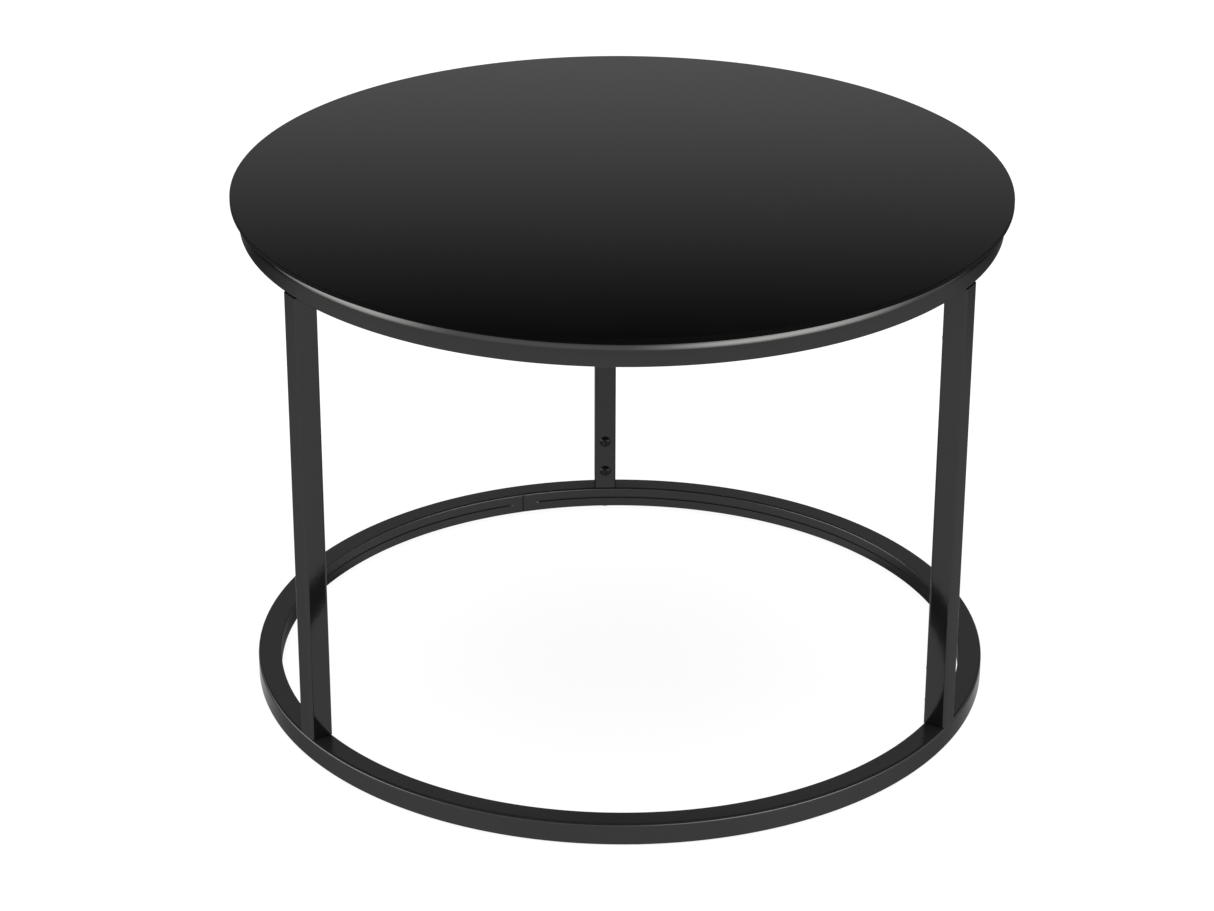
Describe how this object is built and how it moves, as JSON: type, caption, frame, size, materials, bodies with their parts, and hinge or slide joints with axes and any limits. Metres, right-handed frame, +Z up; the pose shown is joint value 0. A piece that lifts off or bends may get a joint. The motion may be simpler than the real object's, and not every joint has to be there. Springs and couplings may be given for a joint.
{
  "type": "side table",
  "caption": "Round side table: loose black glass disc on soft pads, on two bent square-tube hoops joined by upright square-tube legs screwed over welded stub posts; stands alone.",
  "frame": {"origin": "on the floor, straight under the centre of the round top", "axes": "+Z up along the table's axis, +Y towards the single back leg, -Y towards the wide open front between the other two legs"},
  "size_m": [0.6499, 0.65, 0.448],
  "materials": {
    "black_glass": "tempered, polished, fully black",
    "black_powder_coat": "gloss black powder coat on steel tube",
    "stub_steel": "gloss black powder coat on a welded steel post",
    "screw_steel": "black-finished steel button-head screw",
    "clear_silicone": "clear soft silicone bumper",
    "floor_felt": "dense black felt glide"
  },
  "bodies": {
    "frame": {"base_ring": "black_powder_coat", "base_ring_weld": "black_powder_coat", "base_screw_back_far": "screw_steel", "base_screw_back_near": "screw_steel", "base_screw_left_far": "screw_steel", "base_screw_left_near": "screw_steel", "base_screw_right_far": "screw_steel", "base_screw_right_near": "screw_steel", "base_stub_back": "stub_steel", "base_stub_left": "stub_steel", "base_stub_right": "stub_steel", "floor_pad_1": "floor_felt", "floor_pad_2": "floor_felt", "floor_pad_3": "floor_felt", "floor_pad_4": "floor_felt", "floor_pad_5": "floor_felt", "floor_pad_6": "floor_felt", "glass_pad_1": "clear_silicone", "glass_pad_2": "clear_silicone", "glass_pad_3": "clear_silicone", "glass_pad_4": "clear_silicone", "glass_pad_5": "clear_silicone", "glass_pad_6": "clear_silicone", "leg_back": "black_powder_coat", "leg_left": "black_powder_coat", "leg_right": "black_powder_coat", "top_ring": "black_powder_coat", "top_ring_weld": "black_powder_coat", "top_screw_back_far": "screw_steel", "top_screw_back_near": "screw_steel", "top_screw_left_far": "screw_steel", "top_screw_left_near": "screw_steel", "top_screw_right_far": "screw_steel", "top_screw_right_near": "screw_steel", "top_stub_back": "stub_steel", "top_stub_left": "stub_steel", "top_stub_right": "stub_steel"},
    "top": {"glass_top": "black_glass"}
  },
  "joints": [
    {"name": "glass_lift", "type": "slide", "parent": "frame", "child": "top", "axis": [0, 0, 1], "range_m": [0, 0.06]}
  ]
}
